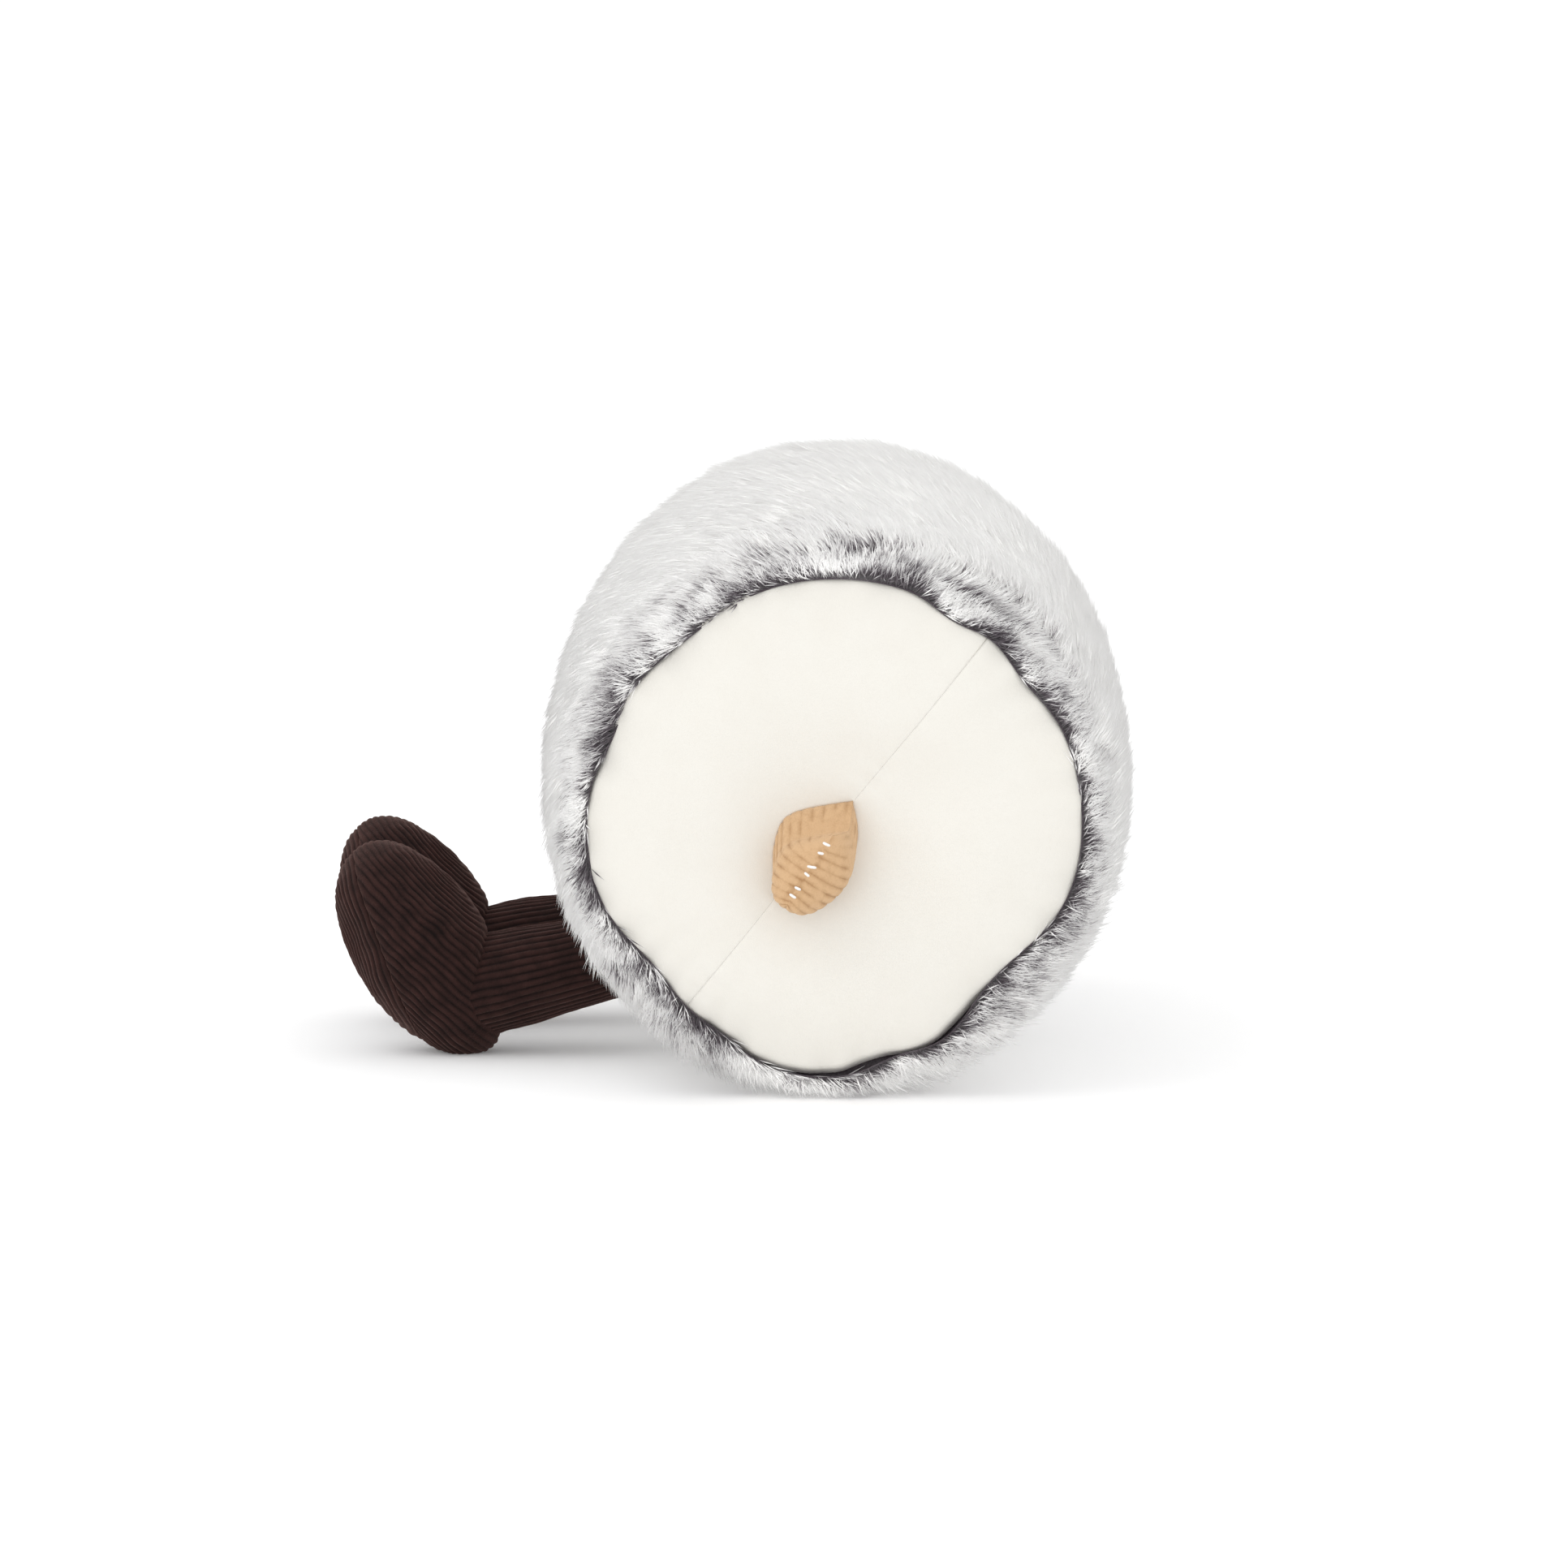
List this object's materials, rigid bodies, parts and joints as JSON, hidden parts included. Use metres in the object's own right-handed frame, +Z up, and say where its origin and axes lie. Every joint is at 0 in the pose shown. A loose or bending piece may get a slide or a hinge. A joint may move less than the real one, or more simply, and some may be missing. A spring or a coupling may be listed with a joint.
{
  "type": "plush toy cheese log",
  "caption": "Soft toy in the form of a furry ash-coated cheese log, with cream end panels, straw stubs at both ends and short brown corduroy legs and feet.",
  "frame": {"origin": "middle of the flat seat under the log, on the ground", "axes": "+Z up, X along the log with the toy's left at +X, legs forward along -Y"},
  "size_m": [0.193, 0.1792, 0.1333],
  "materials": {
    "ash_pile": "tipped faux fur, dark grey at the root and near white at the tip",
    "cream_velour": "short smooth velour",
    "straw_cord": "fine corduroy",
    "brown_cord": "fine corduroy",
    "fibre": "loose polyester fibre",
    "pouch_cloth": "plain woven cloth over plastic beads"
  },
  "bodies": {
    "root": {"rind_sleeve": "ash_pile", "left_end_panel_upper": "cream_velour", "left_end_panel_lower": "cream_velour", "right_end_panel_upper": "cream_velour", "right_end_panel_lower": "cream_velour", "left_straw_cover": "straw_cord", "right_straw_cover": "straw_cord", "left_straw_filling": "fibre", "right_straw_filling": "fibre", "body_filling": "fibre", "weight_pouch": "pouch_cloth", "left_leg_sleeve": "brown_cord", "right_leg_sleeve": "brown_cord", "left_leg_filling": "fibre", "right_leg_filling": "fibre", "left_foot_upper": "brown_cord", "right_foot_upper": "brown_cord", "left_foot_sole": "brown_cord", "right_foot_sole": "brown_cord", "left_foot_filling": "fibre", "right_foot_filling": "fibre"}
  },
  "joints": []
}
